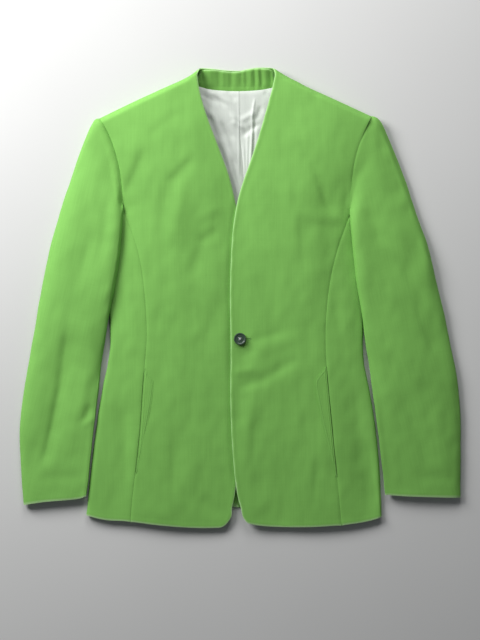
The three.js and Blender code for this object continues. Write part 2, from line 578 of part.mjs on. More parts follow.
const { radius, thickness, rim, well, depth } = BUTTON;
const profile = table("x y", [0, 0], [radius - 1.2, 0], [radius, 1], [radius, thickness - 0.8],
  [radius - 0.6, thickness], [radius - rim, thickness], [well, thickness - depth], [0, thickness - depth]);
const turned = new THREE.LatheGeometry(profile.map(({ x, y }) => new THREE.Vector2(x, y)), 40);
const drill = new THREE.CylinderGeometry(THREAD_HOLE.radius, THREAD_HOLE.radius, 6 * thickness, 12);
const [disc, hole] = [turned, drill].map((geometry) => solidOf(geometry.rotateX(Math.PI / 2)));
const holes = [[-1, -1], [-1, 1], [1, -1], [1, 1]].map(([x, y]) =>
  hole.translate([x * THREAD_HOLE.spread, y * THREAD_HOLE.spread, 0]));
const drilled = holes.reduce((solid, cutter) => solid.subtract(cutter), disc);
add("button", geometryOf(drilled).translate(BUTTON.x, BUTTON.y, seat), HORN);

const shankLength = seat - SEAM - shankFoot;
const shank = new THREE.CylinderGeometry(SHANK_RADIUS, SHANK_RADIUS, shankLength, 12)
  .rotateX(Math.PI / 2).translate(BUTTON.x, BUTTON.y, shankFoot + shankLength / 2);
add("button_shank", shank, HORN);

export default group;
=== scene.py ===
import math

import bmesh
import bpy
import numpy as np
from mathutils import Matrix, Vector, noise
from mathutils.bvhtree import BVHTree
from mathutils.kdtree import KDTree


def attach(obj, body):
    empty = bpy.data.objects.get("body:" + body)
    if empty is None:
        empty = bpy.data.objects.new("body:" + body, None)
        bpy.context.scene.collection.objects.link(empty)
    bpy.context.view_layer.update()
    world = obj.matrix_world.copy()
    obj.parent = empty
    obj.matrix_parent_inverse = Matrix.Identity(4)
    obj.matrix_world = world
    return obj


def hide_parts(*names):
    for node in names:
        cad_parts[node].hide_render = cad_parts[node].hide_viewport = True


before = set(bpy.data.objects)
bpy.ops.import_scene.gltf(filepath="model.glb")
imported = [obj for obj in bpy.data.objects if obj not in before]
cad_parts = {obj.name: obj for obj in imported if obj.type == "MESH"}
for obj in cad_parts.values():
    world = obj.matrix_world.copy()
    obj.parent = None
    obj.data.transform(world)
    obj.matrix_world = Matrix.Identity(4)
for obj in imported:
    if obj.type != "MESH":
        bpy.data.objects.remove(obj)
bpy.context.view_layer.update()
MM = 0.001


# ---------------------------------------------------------------- the green cloth
# A fine matt cloth, dyed apple green, with faint uneven yarns that run the length of each piece. Its UV
# map is the cloth itself, in millimetres across and along the grain.

APPLE_GREEN = (0.230, 0.55, 0.108, 1)
DEEP_GREEN = (0.175, 0.435, 0.080, 1)
# This paler green and the share below are a painted highlight along the free edges and hems, where the
# cloth's edges catch the light.
HIGHLIGHT_GREEN = (0.52, 0.80, 0.38, 1)
EDGE_HIGHLIGHT = 0.65
YARN_PITCH = 0.62
SLUB_WIDTH = 1.9
SLUB_LENGTH = 70.0
CLOUD_SCALE = 0.012
FIBRE_SCALE = 1.6
SLUB_SHARE = 0.75
WEFT_SHARE = 0.25
CLOUD_SHARE = 0.5
FIBRE_SHARE = 0.35
WEAVE_DEPTH = 0.10


class Reading:
    """A number that varies over a surface. Sums, differences and products of readings add Math nodes."""

    def __init__(self, finish, socket):
        self.finish, self.socket = finish, socket

    def maths(self, operation, *values):
        return self.finish.node("ShaderNodeMath", {"operation": operation}, dict(enumerate(values)))

    def __add__(self, other):
        return self.maths("ADD", self, other)

    def __sub__(self, other):
        return self.maths("SUBTRACT", self, other)

    def __mul__(self, other):
        return self.maths("MULTIPLY", self, other)


class Finish:
    """A procedural material. node() sets a node's settings first, then the values or links of its sockets."""

    def __init__(self, name):
        self.material = bpy.data.materials.new(name)
        self.material.use_nodes = True
        self.tree = self.material.node_tree
        self.shader = self.tree.nodes["Principled BSDF"]

    def node(self, kind, settings=None, inputs=None, output=0):
        node = self.tree.nodes.new(kind)
        for name, value in (settings or {}).items():
            if name == "stops":
                for stop, (place, colour) in zip(node.color_ramp.elements, value):
                    stop.position, stop.color = place, colour
            else:
                setattr(node, name, value)
        self.join(node, inputs or {})
        return Reading(self, node.outputs[output])

    def join(self, node, inputs):
        for name, value in inputs.items():
            if isinstance(value, Reading):
                self.tree.links.new(value.socket, node.inputs[name])
            else:
                node.inputs[name].default_value = value

    def noise(self, place, scale, detail=2.0, roughness=0.5):
        settings = {"noise_dimensions": "3D"}
        sockets = {"Vector": place, "Scale": scale, "Detail": detail, "Roughness": roughness}
        return self.node("ShaderNodeTexNoise", settings, sockets)

    def stretched(self, place, scale):
        return self.node("ShaderNodeMapping", {}, {"Vector": place, "Scale": scale})

    def blend(self, share, low, high):
        return self.node("ShaderNodeMix", {"data_type": "RGBA"}, {0: share, 6: low, 7: high}, output=2)

    def bump(self, height, depth):
        return self.node("ShaderNodeBump", {}, {"Height": height, "Distance": depth, "Strength": 1.0})


def cloth_finish(name, light, dark, highlight_colour, sheen, roughness):
    finish = Finish(name)
    cloth = finish.node("ShaderNodeUVMap", {"uv_map": "cloth"})
    slub = finish.noise(finish.stretched(cloth, (1 / SLUB_WIDTH, 1 / SLUB_LENGTH, 1)), 1.0, 3.0, 0.6)
    weft = finish.noise(finish.stretched(cloth, (1 / SLUB_LENGTH, 1 / SLUB_WIDTH, 1)), 1.0, 2.0, 0.5)
    cloudy = finish.noise(cloth, CLOUD_SCALE, 2.0, 0.5)
    fibres = finish.noise(cloth, FIBRE_SCALE, 4.0, 0.7)
    across = finish.stretched(cloth, (1 / YARN_PITCH, 0.45 / YARN_PITCH, 1))
    yarns = finish.node("ShaderNodeTexWave", {"wave_type": "BANDS", "bands_direction": "DIAGONAL"},
                        {"Vector": across, "Scale": 1.0, "Distortion": 0.8, "Detail": 1.0})
    shade = (slub * SLUB_SHARE + weft * WEFT_SHARE + (cloudy - 0.5) * CLOUD_SHARE
             + (fibres - 0.5) * FIBRE_SHARE)
    # The edge attribute blends in a painted highlight: a paler colour along the free edges, where they catch
    # the light.
    edge = finish.node("ShaderNodeAttribute", {"attribute_name": "edge"}, output="Fac")
    finish.join(finish.shader, {
        "Base Color": finish.blend(edge * EDGE_HIGHLIGHT, finish.blend(shade, dark, light), highlight_colour),
        "Roughness": (fibres - 0.5) * 0.08 + roughness,
        "Normal": finish.bump(yarns * 0.25 + fibres * 0.5 + slub * 0.5, WEAVE_DEPTH * MM),
        "Sheen Weight": sheen,
        "Sheen Roughness": 0.45,
        "Sheen Tint": light,
        "Specular IOR Level": 0.4,
    })
    return finish.material


green_cloth = cloth_finish("green_cloth", APPLE_GREEN, DEEP_GREEN, HIGHLIGHT_GREEN, 0.18, 0.82)


# ---------------------------------------------------------------- how a panel is cut and laid
# Each panel is a thin shell on the outside of its solid's wall: the outside is lifted off as a sheet,
# refined, drawn together at its seams, pressed into its creases, and given thickness and soft edges.

PANELS = {  # the skin that is lifted off, and how often it is refined
    "front_right": ("up", 3), "front_left": ("up", 3), "pocket_welt_right": ("up", 3),
    "pocket_welt_left": ("up", 3), "side_right": ("out", 3), "side_left": ("out", 3),
    "back_right": ("down", 2), "back_left": ("down", 2), "top_sleeve_right": ("out", 3),
    "top_sleeve_left": ("out", 3), "under_sleeve_right": ("down", 2), "under_sleeve_left": ("down", 2),
    "neck_facing": ("up", 3), "lining_right": ("up", 3), "lining_left": ("up", 3),
}
# Lengths are in mm and angles in degrees, unless a line says otherwise.
WELD = 0.002
SKIN_BREAK = 48
QUAD_BEND = 50
QUAD_SKEW = 90
NOWHERE = Vector((9, 9, 9))  # metres, far from any cloth
NEAREST_EDGES = 4
CLOTH_THICKNESS = 1.7
SOFT_EDGE = 0.3
SOFT_EDGE_ANGLE = 60
RUMPLES = ((34, 58, 1.15), (15, 24, 0.50))  # across, down and height
RUMPLE_INSET = 12
SEAM_REACH = 7.5
SEAM_RISE = 6.0
SEAM_CLOSE = 1.0
SEAM_ALONG = 0.7
SEAM_LEAST = 0.02
SEAM_SLIT = 0.04
SEAM_PULL = 9.0
SEAM_NEIGHBOURS = 5
SEAM_SHARE_EASE = 0.3
SEAM_SMOOTHING = 6
SEAM_DIP = 0.55
SEAM_WIDTH = 2.4
CREASE_END = 0.25
CREASE_TURN = 1.6  # how soon creases end where the cloth turns over a fold
EDGE_FALL = 0.75
EDGE_WIDTH = 1.0
EDGE_TURN = 3  # and the same for the fall at an edge
EDGE_SWELL = 0.3
EDGE_SWELL_PLACE = 3.5
EDGE_SWELL_WIDTH = 2.2
# How wide the painted highlight along the free edges is, and how much more of it is painted along the hems.
HIGHLIGHT_WIDTH = 1.35
HEM_HIGHLIGHT = 0.5
HEM_TOP = -285
HEM_FADE = 20
HEM_FLAT = 0.85
FOLD_FILL = 1.1
FOLD_TURN = 1.3  # how soon a fold's filling ends away from upright cloth
FOLD_SQUARE = 0.7
FOLD_SQUARE_LEVEL = 0.7
FOLD_SQUARE_WIDTH = 0.2


def outside_of(node, way):
    """The outer or inner skin of a node's wall as a sheet of quads. way is up, down or out."""
    bm = bmesh.new()
    bm.from_mesh(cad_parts[node].data)
    bmesh.ops.remove_doubles(bm, verts=bm.verts, dist=WELD * MM)
    bm.normal_update()
    unseen, skins = set(bm.faces), []
    while unseen:
        skin, reached = [], [unseen.pop()]
        while reached:
            face = reached.pop()
            skin.append(face)
            for edge in face.edges:
                if len(edge.link_faces) == 2 and edge.calc_face_angle() < math.radians(SKIN_BREAK):
                    for other in edge.link_faces:
                        if other in unseen:
                            unseen.remove(other)
                            reached.append(other)
        skins.append(skin)

    def area(skin):
        return sum(face.calc_area() for face in skin)

    def height(skin):
        return sum(face.calc_center_median().z * face.calc_area() for face in skin) / area(skin)

    two = sorted(skins, key=area)[-2:]
    wanted = max(two, key={"up": height, "down": lambda skin: -height(skin), "out": area}[way])
    kept = set(wanted)
    bmesh.ops.delete(bm, geom=[face for face in bm.faces if face not in kept], context="FACES")
    bmesh.ops.join_triangles(bm, faces=bm.faces, angle_face_threshold=math.radians(QUAD_BEND),
                             angle_shape_threshold=math.radians(QUAD_SKEW))
    mesh = bpy.data.meshes.new(node + "_cloth")
    bm.to_mesh(mesh)
    bm.free()
    return mesh


def refined(mesh, levels):
    """The sheet with its facets rounded off."""
    rough = bpy.data.objects.new(mesh.name, mesh)
    bpy.context.scene.collection.objects.link(rough)
    rounding = rough.modifiers.new("rounding", "SUBSURF")
    rounding.levels = rounding.render_levels = levels
    rounding.boundary_smooth = "PRESERVE_CORNERS"
    bpy.context.view_layer.update()
    smooth = bpy.data.meshes.new_from_object(rough.evaluated_get(bpy.context.evaluated_depsgraph_get()))
    bpy.data.objects.remove(rough)
    return smooth


def rim_of(mesh):
    """The rim of a sheet: its boundary edges, and a tree that finds the nearest ones."""
    bm = bmesh.new()
    bm.from_mesh(mesh)
    edges = [tuple(vert.co.copy() for vert in edge.verts) for edge in bm.edges if edge.is_boundary]
    bm.free()
    return edges, tree_of([(start + end) / 2 for start, end in edges])


def tree_of(places):
    tree = KDTree(max(1, len(places)))
    for index, place in enumerate(places or [NOWHERE]):
        tree.insert(place, index)
    tree.balance()
    return tree


def step_to(rim, place):
    """The shortest step from a place to a rim."""
    edges, tree = rim
    steps = []
    for _, index, _ in tree.find_n(place, NEAREST_EDGES):
        start, end = edges[index]
        along = (place - start).dot(end - start) / max((end - start).length_squared, 1e-12)
        steps.append(start + (end - start) * min(1.0, max(0.0, along)) - place)
    return min(steps, key=lambda step: step.length)


def points_of(mesh):
    flat = np.empty(len(mesh.vertices) * 3)
    mesh.vertices.foreach_get("co", flat)
    return flat.reshape(-1, 3)


def normals_of(mesh):
    flat = np.empty(len(mesh.vertices) * 3)
    mesh.vertex_normals.foreach_get("vector", flat)
    return flat.reshape(-1, 3)


def bell(distance, width):
    """1 at no distance, dying away softly over a width."""
    return np.exp(-((distance / width) ** 2))


def ramp(distance, length):
    """0 at no distance and behind, 1 from a length on."""
    return np.clip(distance / length, 0, 1)


def eased(share):
    """A share of 0 to 1 with soft ends."""
    return share * share * (3 - 2 * share)


sheets = {node: refined(outside_of(node, way), levels) for node, (way, levels) in PANELS.items()}
rims = {node: rim_of(sheet) for node, sheet in sheets.items()}


def sew(mesh, sewn_to, worked):
    """Draws each sewn edge its share of the way to its neighbours, with the cloth behind it, and tells
    how far each point is from the nearest sewn edge and from the nearest free edge, in mm. worked is the
    middle and the reach of a worked hole, which is neither."""
    bm = bmesh.new()
    bm.from_mesh(mesh)
    sewn, free, aims = [], [], {}
    for vert in (vert for vert in bm.verts if vert.is_boundary):
        if worked and math.dist(vert.co.xy / MM, worked[:2]) < worked[2]:
            continue
        ends = [edge.other_vert(vert).co for edge in vert.link_edges if edge.is_boundary]
        along = (ends[0] - ends[-1]).normalized()
        steps = [(step_to(rims[name], vert.co), share) for name, share in sewn_to.items()]
        steps = [(step, share) for step, share in steps
                 if step.length < SEAM_REACH * MM and abs(step.z) < SEAM_RISE * MM
                 and (step.length < SEAM_CLOSE * MM or abs(step.dot(along)) < SEAM_ALONG * step.length)]
        if not steps:
            free.append(vert.co.copy())
            continue
        nearest = max(min(step.length for step, _ in steps), SEAM_LEAST * MM)
        pulls = [(nearest / max(step.length, SEAM_LEAST * MM)) ** 2 for step, _ in steps]
        move = sum((step * share * pull for (step, share), pull in zip(steps, pulls)), Vector()) / sum(pulls)
        sewn.append(vert.co.copy())
        aims[vert] = vert.co + move * max(0.0, 1 - SEAM_SLIT * MM / max(move.length, SEAM_LEAST * MM))
    trees = [tree_of(sewn), tree_of(free)]
    distances = [np.array([tree.find(vert.co)[2] for vert in bm.verts]) / MM for tree in trees]
    beside = [vert for vert, distance in zip(bm.verts, distances[0])
              if distance < SEAM_REACH and (vert in aims or not vert.is_boundary)]
    for _ in range(SEAM_SMOOTHING):
        bmesh.ops.smooth_vert(bm, verts=beside, factor=0.5, use_axis_x=True, use_axis_y=True,
                              use_axis_z=True)
    moves = [aim - vert.co for vert, aim in aims.items()]
    for vert, distance in zip(bm.verts, distances[0]):
        if vert in aims:
            vert.co = aims[vert]
        elif moves and distance < SEAM_PULL:
            near = trees[0].find_n(vert.co, SEAM_NEIGHBOURS)
            shares = [1 / (length + SEAM_SHARE_EASE * MM) for _, _, length in near]
            pull = sum((moves[index] * share for (_, index, _), share in zip(near, shares)), Vector())
            vert.co += pull / sum(shares) * (1 - distance / SEAM_PULL) ** 2
    bm.to_mesh(mesh)
    bm.free()
    return distances


def crease_height(creases, x, y):
    """Soft troughs and ridges, in mm, at points given in mm. Each row has its two ends, the width of its
    left and of its right side seen from the first end, and its height."""
    total = np.zeros_like(x)
    for x0, y0, x1, y1, left, right, height in creases:
        dx, dy = x1 - x0, y1 - y0
        length = math.hypot(dx, dy)
        along = ((x - x0) * dx + (y - y0) * dy) / length ** 2
        across = ((y - y0) * dx - (x - x0) * dy) / length
        width = np.where(across > 0, left, right)
        fade = ramp(along + CREASE_END, 2 * CREASE_END) * ramp(1 + CREASE_END - along, 2 * CREASE_END)
        total += height * eased(fade) * bell(across, width)
    return total


def rumple_height(place):
    """The soft unevenness of pressed cloth, in mm: shallow dents, longer down the piece than across."""
    total = np.zeros(len(place))
    for across, down, height in RUMPLES:
        spots = place / np.array([across, down, across])
        total += height * np.array([noise.noise(Vector(spot)) for spot in spots])
    return total


def lay_panel(node, sewn_to, creases, thickness=CLOTH_THICKNESS, finish=green_cloth, grain=0.0, rumple=1.0,
              press=None, shift=None, edge_fall=EDGE_FALL, edge_width=EDGE_WIDTH, highlight_share=1.0, worked=None):
    """A panel of cloth in place of its solid. grain is the angle of its length from the +Y direction, in
    degrees. press gives more height and shift moves its points, both in mm."""
    mesh = sheets[node]
    way = PANELS[node][0]
    normal = normals_of(mesh)
    sewn, free = sew(mesh, sewn_to, worked)
    place = points_of(mesh) / MM
    level = normal[:, 2] * (-1 if way == "down" else 1)
    hem = ramp(HEM_TOP - place[:, 1], HEM_FADE)
    edge = (1 - HEM_FLAT * hem) * bell(free, edge_width)
    swell = EDGE_SWELL * bell(free - EDGE_SWELL_PLACE, EDGE_SWELL_WIDTH)
    lift = crease_height(creases, place[:, 0], place[:, 1]) * np.clip(level * CREASE_TURN, 0, 1)
    lift += rumple * rumple_height(place) * (1 - bell(free, RUMPLE_INSET))
    lift -= SEAM_DIP * bell(sewn, SEAM_WIDTH)
    lift += (swell - edge_fall * edge) * np.clip(level * EDGE_TURN, 0, 1)
    lift += FOLD_FILL * np.clip(1 - np.abs(level) * FOLD_TURN, 0, 1)
    if way == "out":
        lift += FOLD_SQUARE * bell(level - FOLD_SQUARE_LEVEL, FOLD_SQUARE_WIDTH)
    if press is not None:
        lift += press(place, sewn, free)
    moved = place + normal * lift[:, None]
    if shift is not None:
        moved += shift(place)
    moved[:, 2] = np.maximum(moved[:, 2], 0.0)
    mesh.vertices.foreach_set("co", (moved * MM).ravel())
    turn = math.radians(grain)
    uv = mesh.uv_layers.new(name="cloth")
    corners = np.empty(len(mesh.loops), dtype=int)
    mesh.loops.foreach_get("vertex_index", corners)
    across = place[:, 0] * math.cos(turn) + place[:, 1] * math.sin(turn)
    along = place[:, 1] * math.cos(turn) - place[:, 0] * math.sin(turn)
    uv.data.foreach_set("uv", np.stack([across[corners], along[corners]], 1).ravel())
    # The edge attribute carries the painted highlight: a share that is strongest at the free edges, with more
    # along the hem.
    mesh.attributes.new("edge", "FLOAT", "POINT").data.foreach_set(
        "value", (highlight_share + HEM_HIGHLIGHT * hem) * bell(free, HIGHLIGHT_WIDTH))
    mesh.shade_smooth()
    mesh.materials.clear()
    mesh.materials.append(finish)
    panel = bpy.data.objects.new(node + "_cloth", mesh)
    bpy.context.scene.collection.objects.link(panel)
    body = panel.modifiers.new("thickness", "SOLIDIFY")
    body.thickness = thickness * MM
    body.offset = -1
    soft = panel.modifiers.new("soft edges", "BEVEL")
    soft.width = SOFT_EDGE * MM
    soft.segments = 2
    soft.limit_method = "ANGLE"
    soft.angle_limit = math.radians(SOFT_EDGE_ANGLE)
    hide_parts(node)
    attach(panel, "root")
    return panel


# ---------------------------------------------------------------- fronts
# Two centre fronts, each cut in one from hem to shoulder with the V neck edge. The left laps over the
# right and hides its edge from the V down to the button and on to the rounded corners.

BODY_CREASES = [
    (-78, 226, -114, 190, 12, 9, -1.9), (-116, 192, -128, 112, 14, 10, -1.7),
    (-128, 112, -124, 60, 13, 9, -1.1), (-92, 178, -112, 96, 10, 10, 0.8),
    (-158, 236, -184, 176, 12, 8, -1.8), (-140, 222, -158, 172, 9, 9, 0.8),
    (-38, 110, -66, 92, 11, 8, -1.4), (-58, 92, -84, 34, 15, 11, -1.2), (-30, 150, -70, 128, 9, 9, 0.8),
    (-40, 60, -52, -30, 14, 14, 0.6), (-190, -186, -190, -300, 10, 15, -2.4),
    (-106, -228, -110, -318, 15, 9, -1.5), (-84, -240, -80, -330, 16, 16, 0.7),
    (-60, -330, -30, -352, 13, 13, -1.0), (-184, -20, -176, -88, 12, 12, 0.9),
    (-60, 300, -100, 262, 14, 14, 0.7), (-104, 300, -150, 262, 12, 9, -0.9),
    (-40, -20, -58, -90, 12, 9, -1.0), (-120, 40, -132, -40, 12, 9, -1.1),
    (-70, -130, -84, -210, 13, 9, -1.0), (-196, 20, -184, -60, 10, 8, -0.9),
    (96, 252, 118, 226, 12, 9, -1.0), (118, 226, 130, 190, 12, 7, -1.5),
    (130, 190, 148, 142, 12, 7, -1.7), (106, 138, 172, 130, 13, 13, 0.8),
    (104, 120, 166, 114, 11, 16, -1.0), (100, 126, 106, 56, 15, 8, -1.3), (82, 214, 94, 150, 13, 9, -1.0),
    (60, 178, 68, 96, 14, 10, -0.9), (36, 150, 44, 60, 14, 14, 0.6), (70, 40, 82, -40, 15, 15, 0.6),
    (18, -92, 96, -62, 15, 15, 1.5), (2, -96, 26, -84, 9, 9, -1.0), (22, -70, 70, -56, 7, 7, -0.7),
    (-8, -122, 24, -116, 8, 8, 1.2), (0, -146, 42, -132, 11, 9, -1.8), (42, -132, 88, -102, 11, 9, -1.8),
    (0, -150, -2, -206, 12, 10, -1.4), (14, -176, 16, -236, 9, 9, 1.0), (24, -210, 22, -270, 9, 7, -0.9),
    (98, -140, 117, -246, 14, 9, -1.2), (70, -170, 60, -300, 18, 18, 0.7),
    (126, -266, 125, -318, 11, 7, -1.2), (40, -250, 28, -330, 16, 12, -1.0),
    (186, -158, 202, -262, 12, 20, -3.0), (208, -250, 224, -345, 10, 24, -4.0),
    (176, -30, 186, -100, 11, 11, 0.8), (150, 40, 160, -40, 12, 9, -0.9),
]

LAP_DIP = 1.5
LAP_WIDTH = 5.5
LAP_TOP = 240
LAP_FADE = 60
LAP_EDGE_HIGHLIGHT = 0.9
LAP_EDGE_SIDE = 40
LAP_GROOVE = 1.7
LAP_GROOVE_WIDTH = 2.2
LAP_GROOVE_PLACE = -62
LAP_GROOVE_LENGTH = 70
MOUTH_LINE_RIGHT = [(-177, -325), (-171, -280), (-165, -225), (-161, -167), (-157, -112)]
MOUTH_LINE_LEFT = [(162, -320), (157, -270), (152, -220), (147, -167), (142, -113)]
MOUTH_RIGHT = (-296, -116)
MOUTH_LEFT = (-292, -110)
MOUTH_HALF = 0.34
MOUTH_EASE = 14
MOUTH_REACH = 5
MOUTH_ABOVE = 4
BUTTON_PLACE = (0, -67)
HOLE_START = 2.4
HOLE_END = 17.0
HOLE_HALF = 0.5
HOLE_CLOSED = 0.10
HOLE_EASE = 2
HOLE_REACH = 1.5
HOLE_WORKED = (7.5, -67, 10.5)  # middle and reach
CORNER_TOP = -341
CORNER_HEIGHT = 20
CORNER_REACH = 17
CORNER_RIGHT = (-20, 5.4)  # middle and measure
CORNER_LEFT = (10, -3.4)


def seam_at(line, y):
    """How far across the body a princess seam lies at y, in mm."""
    return np.interp(y, [point[1] for point in line], [point[0] for point in line])


def mouth_open(line, ends, way):
    """The shift that opens one side of a pocket mouth in the princess seam. way is 1 towards +X."""
    def shift(place):
        x, y = place[:, 0], place[:, 1]
        window = ramp(y - ends[0], MOUTH_EASE) * ramp(ends[1] - y, MOUTH_EASE)
        near = bell(x - seam_at(line, y), MOUTH_REACH) * (place[:, 2] > MOUTH_ABOVE)
        return np.stack([way * MOUTH_HALF * window * near, 0 * x, 0 * x], 1)
    return shift


def lap_dip(place, sewn, free):
    """The right front sinks a little along the left front's edge, which lies on it, and most of all
    beside the button."""
    near = np.array([lap.find((x, y, 0))[2] for x, y in place[:, :2]])
    pulled = bell(place[:, 1] - LAP_GROOVE_PLACE, LAP_GROOVE_LENGTH)
    groove = LAP_GROOVE * pulled * bell(near, LAP_GROOVE_WIDTH)
    return -(LAP_DIP * bell(near, LAP_WIDTH) + groove) * ramp(LAP_TOP - place[:, 1], LAP_FADE)


def full_corner(middle, way):
    """The shift that squares a front's rounded lower corner. way is its measure towards +X."""
    def shift(place):
        x, y = place[:, 0], place[:, 1]
        low = eased(ramp(CORNER_TOP - y, CORNER_HEIGHT)) * bell(x - middle, CORNER_REACH)
        return np.stack([way * low, 0 * x, 0 * x], 1)
    return shift


def closed_hole(place):
    """The buttonhole's two sides lie against each other behind the button."""
    x, y = place[:, 0] - BUTTON_PLACE[0], place[:, 1] - BUTTON_PLACE[1]
    beside = ramp(x - HOLE_START, HOLE_EASE) * np.clip(HOLE_END + 1 - x, 0, 1)
    reach = bell(np.maximum(np.abs(y) - HOLE_HALF, 0), HOLE_REACH)
    return np.stack([0 * x, -np.sign(y) * (HOLE_HALF - HOLE_CLOSED) * beside * reach, 0 * x], 1)


def right_front_shift(place):
    return mouth_open(MOUTH_LINE_RIGHT, MOUTH_RIGHT, 1)(place) + full_corner(*CORNER_RIGHT)(place)


def left_front_shift(place):
    return (closed_hole(place) + mouth_open(MOUTH_LINE_LEFT, MOUTH_LEFT, -1)(place)
            + full_corner(*CORNER_LEFT)(place))


front_left = lay_panel("front_left", {"side_left": 0.5, "back_left": 0.5, "top_sleeve_left": 0.5},
                       BODY_CREASES, shift=left_front_shift, worked=HOLE_WORKED)
# The left front's edge is found where its painted edge highlight is strongest.
on_the_edge = np.empty(len(front_left.data.vertices))
front_left.data.attributes["edge"].data.foreach_get("value", on_the_edge)
left_edge = points_of(front_left.data)[on_the_edge > LAP_EDGE_HIGHLIGHT] / MM
lap = tree_of([(x, y, 0) for x, y, _ in left_edge if x < LAP_EDGE_SIDE])
front_right = lay_panel("front_right", {"side_right": 0.5, "back_right": 0.5, "top_sleeve_right": 0},
                        BODY_CREASES, press=lap_dip, shift=right_front_shift)


# ---------------------------------------------------------------- sides
# Side bodies, which run from the princess seam round the fold at the side to the back side seam
# underneath.

TUCK_LENGTH = 8
TUCK_REACH = 6.5
TUCK_DEPTH = 2.2
TUCK_ABOVE = 8
TUCK_TOP_RIGHT = 139
TUCK_TOP_LEFT = 134


def side_shift(line, ends, way, top):
    """The pocket mouth, and the underarm corner, which is tucked in behind the front and the sleeve."""
    opened = mouth_open(line, ends, way)

    def shift(place):
        tuck = ramp(place[:, 1] - top + TUCK_LENGTH, TUCK_LENGTH) ** 2 * (place[:, 2] > TUCK_ABOVE)
        return opened(place) + np.stack([0 * tuck, TUCK_REACH * tuck, -TUCK_DEPTH * tuck], 1)
    return shift


side_right = lay_panel("side_right", {"front_right": 0.5, "back_right": 0.5, "top_sleeve_right": 0},
                       BODY_CREASES, shift=side_shift(MOUTH_LINE_RIGHT, MOUTH_RIGHT, -1, TUCK_TOP_RIGHT))
side_left = lay_panel("side_left", {"front_left": 0.5, "back_left": 0.5, "top_sleeve_left": 0},
                      BODY_CREASES, shift=side_shift(MOUTH_LINE_LEFT, MOUTH_LEFT, 1, TUCK_TOP_LEFT))


# ---------------------------------------------------------------- backs
# The back is cut in two halves with a centre seam. It lies on the surface, dented by shallow folds,
# and curls up only at the shoulder seams and the neck.

BACK_CREASES = [
    (-168, 108, -70, 52, 12, 9, -0.8), (-172, 40, -92, -34, 12, 10, -0.7),
    (164, 100, 72, 44, 12, 9, -0.8), (168, 28, 98, -52, 12, 10, -0.7),
    (-64, -66, -44, -204, 14, 10, -0.8), (52, -84, 40, -236, 14, 10, -0.8),
    (-124, -176, -112, -318, 12, 12, -0.6), (122, -168, 132, -312, 12, 12, -0.6),
    (-150, 236, -96, 196, 12, 9, -0.7), (146, 232, 90, 190, 12, 9, -0.7),
    (-20, 120, -34, 20, 12, 12, -0.5), (22, 110, 30, 8, 12, 12, -0.5),
]
BACK_DENT = 0.55
DENT_TOP = 300
DENT_FADE = 60
NECK_STAND = 9.0
NECK_RISE = 2.0
NECK_FOLD_LINE = 347
NECK_TOP_LINE = 374
NECK_MIDDLE = -6
NECK_HALF_WIDTH = 62
NECK_CURVE = 1.15


def neck_share(place):
    """How far up the stand of the back neck a point is, fading out at the shoulder seams."""
    up = ramp(place[:, 1] - NECK_FOLD_LINE, NECK_TOP_LINE - NECK_FOLD_LINE)
    side = np.clip(1 - np.abs((place[:, 0] - NECK_MIDDLE) / NECK_HALF_WIDTH) ** 4, 0, 1)
    return up ** NECK_CURVE * side


def neck_rise(place):
    return np.stack([0 * place[:, 0], NECK_RISE * neck_share(place), 0 * place[:, 0]], 1)


def back_lie(place, sewn, free):
    """The back follows the neck's stand, and is dented upwards off the surface below its lining."""
    dent = BACK_DENT * np.abs(rumple_height(place)) * (1 - bell(free, RUMPLE_INSET))
    return -NECK_STAND * neck_share(place) - dent * ramp(DENT_TOP - place[:, 1], DENT_FADE)


back_right = lay_panel("back_right", {"side_right": 0.5, "back_left": 0.5, "under_sleeve_right": 0.5,
                                      "front_right": 0.5},
                       BACK_CREASES, rumple=0, press=back_lie, shift=neck_rise)
back_left = lay_panel("back_left", {"side_left": 0.5, "back_right": 0.5, "under_sleeve_left": 0.5,
                                    "front_left": 0.5},
                      BACK_CREASES, rumple=0, press=back_lie, shift=neck_rise)


# ---------------------------------------------------------------- sleeves
# Two-piece sleeves. The top sleeve wraps both folds and the under sleeve is hidden beneath it, so
# both sleeve seams are on the underside. The cuffs are plain, with no vent.

RIGHT_SLEEVE_CREASES = [
    (-283, -58, -294, -150, 26, 8, -3.2), (-295, -146, -308, -214, 24, 7, -3.0),
    (-308, -210, -322, -266, 16, 6, -2.4), (-248, -120, -262, -190, 9, 9, 1.2),
    (-246, -178, -256, -204, 7, 7, -1.7), (-236, -196, -256, -206, 6, 6, 1.0),
    (-262, -292, -330, -296, 10, 10, -0.8), (-240, 110, -262, 30, 14, 9, -1.4),
    (-268, 150, -284, 60, 12, 12, 0.9), (-214, 160, -228, 70, 10, 8, -1.1),
    (-252, 250, -262, 200, 10, 9, -0.9), (-300, -4, -318, -80, 9, 9, -0.9),
    (-230, 220, -246, 160, 10, 10, 0.7),
]
LEFT_SLEEVE_CREASES = [
    (212, 302, 243, 228, 16, 20, -3.8), (243, 228, 266, 168, 15, 23, -4.0),
    (266, 168, 296, 56, 15, 24, -3.6), (256, 112, 272, 54, 12, 12, 1.2), (262, 60, 300, 0, 14, 9, -1.4),
    (222, 30, 262, -10, 12, 12, 0.9), (212, 140, 234, 92, 10, 12, -1.7), (288, 0, 320, -90, 20, 9, -1.8),
    (250, -80, 296, -140, 12, 12, 1.0), (270, -160, 300, -250, 18, 10, -1.4),
    (320, -150, 334, -260, 12, 12, 0.8), (262, -250, 270, -310, 10, 8, -0.9),
    (290, -292, 350, -296, 10, 10, -0.7),
]
